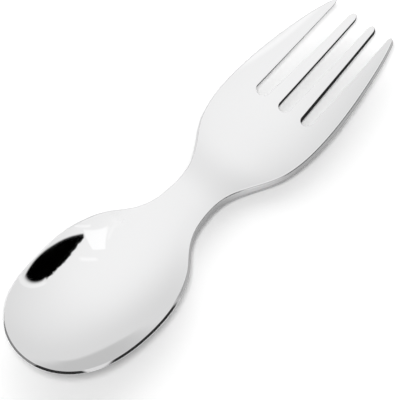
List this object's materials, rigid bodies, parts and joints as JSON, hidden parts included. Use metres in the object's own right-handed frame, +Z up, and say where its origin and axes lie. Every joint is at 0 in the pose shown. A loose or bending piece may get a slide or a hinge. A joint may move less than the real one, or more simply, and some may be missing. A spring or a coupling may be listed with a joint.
{
  "type": "spork",
  "caption": "Mirror-polished steel spork pressed from a single sheet, with a rounded spoon bowl and a dished, slotted fork joined end to end by a narrow neck.",
  "frame": {"origin": "middle of the outline's length and width, on the table plane that the bowl and the fork rest on", "axes": "+X from the spoon's end towards the tine tips, +Y across to the left of that direction, +Z up out of the bowl's open side"},
  "size_m": [0.105, 0.0288, 0.0077],
  "materials": {
    "stainless": "mirror-polished stainless steel with softly rounded edges"
  },
  "bodies": {
    "root": {"spork": "stainless"}
  },
  "joints": []
}
